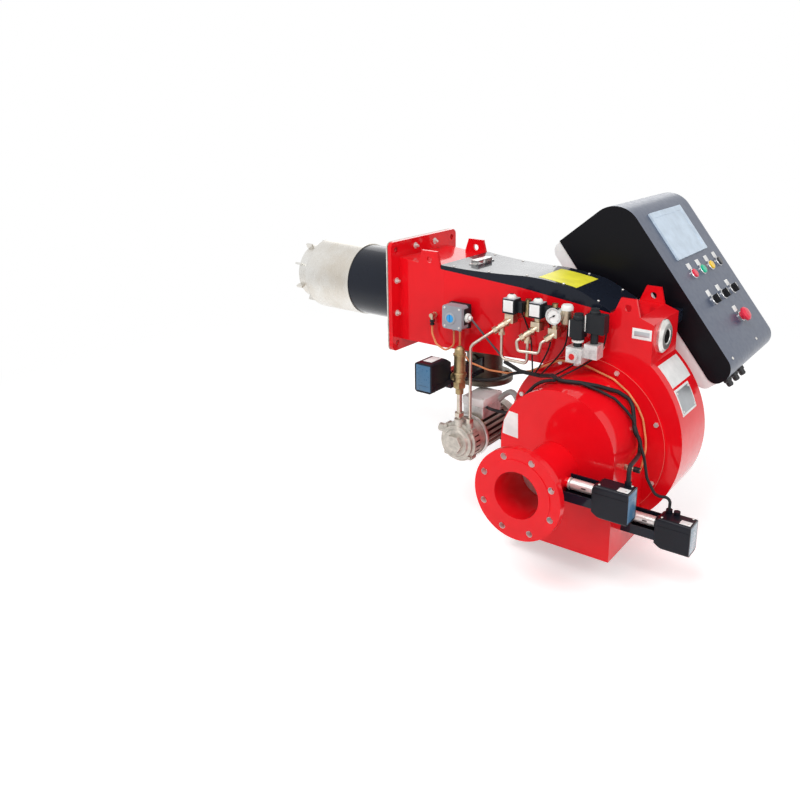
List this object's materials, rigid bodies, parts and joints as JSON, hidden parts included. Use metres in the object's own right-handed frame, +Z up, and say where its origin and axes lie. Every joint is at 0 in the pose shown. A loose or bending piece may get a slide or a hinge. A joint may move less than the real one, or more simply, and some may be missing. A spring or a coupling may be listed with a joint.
{
  "type": "dual fuel burner",
  "caption": "Industrial gas and light-oil burner: flame tube and boiler flange, air duct, scroll fan, flanged recirculation inlet, oil pump and valves, tilted control cabinet.",
  "frame": {"origin": "centre of the gasket face that bolts to the boiler, on the flame tube's axis", "axes": "-X along the flame tube into the boiler, +X back to the blower; +Y to the control cabinet's side, -Y to the flanged recirculation pipe; +Z up"},
  "size_m": [1.5117, 1.083, 0.9033],
  "materials": {
    "red_paint": "gloss enamel",
    "black_paint": "satin enamel",
    "cabinet_paint": "fine textured satin",
    "white_paint": "satin",
    "gasket": "matt fibre board",
    "stainless": "brushed",
    "heat_steel": "rolled",
    "zinc": "zinc plated",
    "brass": "nickel-brass, dull",
    "galvanised": "galvanised sheet",
    "pump_casting": "cast, bare",
    "motor_casting": "ribbed, grey enamel",
    "motor_cowl": "satin",
    "bright_steel": "turned",
    "oil_pipe": "drawn tube",
    "servo_plastic": "moulded, black",
    "coil_plastic": "moulded, black",
    "valve_aluminium": "die cast",
    "switch_plastic": "moulded, grey",
    "dial_blue": "moulded, blue",
    "orange_tube": "soft tube",
    "cable_black": "sheathed cable",
    "screen": "moulded frame",
    "bezel": "bright ring",
    "button_red": "moulded",
    "button_green": "moulded",
    "button_yellow": "moulded",
    "button_black": "moulded",
    "selector_black": "moulded",
    "stop_red": "moulded",
    "gauge": "bright case",
    "pointer_black": "lacquered",
    "sight_metal": "turned",
    "glass": "clear",
    "gland_plastic": "moulded, grey"
  },
  "bodies": {
    "burner": {"mounting_flange": "red_paint", "flange_gasket": "gasket", "tube_extension": "black_paint", "flame_tube": "stainless", "air_diffuser": "heat_steel", "nozzle_lance": "heat_steel", "ignition_electrodes": "bright_steel", "duct_body": "red_paint", "scroll_housing": "red_paint", "lifting_lugs": "red_paint", "top_cover": "black_paint", "cover_handle": "bright_steel", "inlet_ring": "red_paint", "bolts": "zinc", "intake_box": "red_paint", "recirculation_pipe": "red_paint", "gas_valve": "pump_casting", "recirculation_servo": "servo_plastic", "air_servo": "servo_plastic", "gas_servo": "servo_plastic", "fan_motor": "motor_casting", "fan_motor_cowl": "motor_cowl", "sight_ring": "sight_metal", "sight_glass": "glass", "control_hood": "cabinet_paint", "control_back_box": "white_paint", "touch_screen": "screen", "button_bezels": "bezel", "cabinet_glands": "gland_plastic", "oil_pump": "pump_casting", "pump_lantern": "pump_casting", "pump_terminal_box": "motor_casting", "pump_motor": "motor_casting", "brackets": "black_paint", "oil_regulator": "brass", "oil_valve_coils": "coil_plastic", "pressure_gauge": "gauge", "pilot_valve_body": "valve_aluminium", "pilot_valve_coils": "coil_plastic", "air_pressure_switch": "switch_plastic", "oil_pipes": "oil_pipe", "impulse_tubes": "orange_tube", "brass_fittings": "brass", "wiring_harness": "cable_black"},
    "fan": {"fan_wheel": "galvanised"},
    "pump_drive": {"pump_shaft": "bright_steel"},
    "recirculation_flap": {"recirculation_damper": "bright_steel"},
    "air_flap": {"air_damper": "galvanised"},
    "gas_flap": {"gas_damper": "bright_steel"},
    "stop_mushroom": {"emergency_stop": "stop_red"},
    "setting_dial": {"switch_dial": "dial_blue"},
    "pointer": {"gauge_pointer": "pointer_black"},
    "stop_button_cap": {"stop_button": "button_red"},
    "start_button_cap": {"start_button": "button_green"},
    "reset_button_cap": {"reset_button": "button_yellow"},
    "lamp_test_button_cap": {"lamp_test_button": "button_black"},
    "fuel_selector_knob": {"fuel_selector": "selector_black"},
    "mode_selector_knob": {"mode_selector": "selector_black"},
    "firing_rate_selector_knob": {"firing_rate_selector": "selector_black"}
  },
  "joints": [
    {"name": "fan_spin", "type": "hinge", "parent": "burner", "child": "fan", "pos_m": [0.668, 0.095, -0.335], "axis": [0, 1, 0], "continuous": true},
    {"name": "pump_spin", "type": "hinge", "parent": "burner", "child": "pump_drive", "pos_m": [0.314, -0.17, -0.39], "axis": [0, 1, 0], "continuous": true},
    {"name": "recirculation_damper_turn", "type": "hinge", "parent": "burner", "child": "recirculation_flap", "pos_m": [0.676, -0.365, -0.349], "axis": [1, 0, 0], "range_deg": [0, 90]},
    {"name": "air_damper_turn", "type": "hinge", "parent": "burner", "child": "air_flap", "pos_m": [0.678, -0.201, -0.481], "axis": [1, 0, 0], "range_deg": [0, 85]},
    {"name": "gas_damper_turn", "type": "hinge", "parent": "burner", "child": "gas_flap", "pos_m": [0.256, -0.1, -0.188], "axis": [0, 1, 0], "range_deg": [0, 90]},
    {"name": "stop_button_press", "type": "slide", "parent": "burner", "child": "stop_button_cap", "axis": [-0.7771, 0, -0.6293], "range_m": [0, 0.004], "stiffness_N_per_m": 300, "springref_m": -0.002},
    {"name": "start_button_press", "type": "slide", "parent": "burner", "child": "start_button_cap", "axis": [-0.7771, 0, -0.6293], "range_m": [0, 0.004], "stiffness_N_per_m": 300, "springref_m": -0.002},
    {"name": "reset_button_press", "type": "slide", "parent": "burner", "child": "reset_button_cap", "axis": [-0.7771, 0, -0.6293], "range_m": [0, 0.004], "stiffness_N_per_m": 300, "springref_m": -0.002},
    {"name": "lamp_test_button_press", "type": "slide", "parent": "burner", "child": "lamp_test_button_cap", "axis": [-0.7771, 0, -0.6293], "range_m": [0, 0.004], "stiffness_N_per_m": 300, "springref_m": -0.002},
    {"name": "fuel_selector_turn", "type": "hinge", "parent": "burner", "child": "fuel_selector_knob", "pos_m": [0.88763, 0.297, 0.02651], "axis": [0.7771, 0, 0.6293], "range_deg": [-45, 45]},
    {"name": "mode_selector_turn", "type": "hinge", "parent": "burner", "child": "mode_selector_knob", "pos_m": [0.88763, 0.389, 0.02651], "axis": [0.7771, 0, 0.6293], "range_deg": [-45, 45]},
    {"name": "firing_rate_selector_turn", "type": "hinge", "parent": "burner", "child": "firing_rate_selector_knob", "pos_m": [0.88763, 0.481, 0.02651], "axis": [0.7771, 0, 0.6293], "range_deg": [-45, 45]},
    {"name": "emergency_stop_press", "type": "slide", "parent": "burner", "child": "stop_mushroom", "axis": [-0.7771, 0, -0.6293], "range_m": [0, 0.004]},
    {"name": "switch_dial_turn", "type": "hinge", "parent": "burner", "child": "setting_dial", "pos_m": [0.249, -0.185, -0.026], "axis": [0, -1, 0], "range_deg": [-135, 135]},
    {"name": "gauge_pointer_turn", "type": "hinge", "parent": "burner", "child": "pointer", "pos_m": [0.582, -0.161, 0.028], "axis": [0, -1, 0], "range_deg": [-240, 0], "stiffness_Nm_per_rad": 0.002}
  ]
}
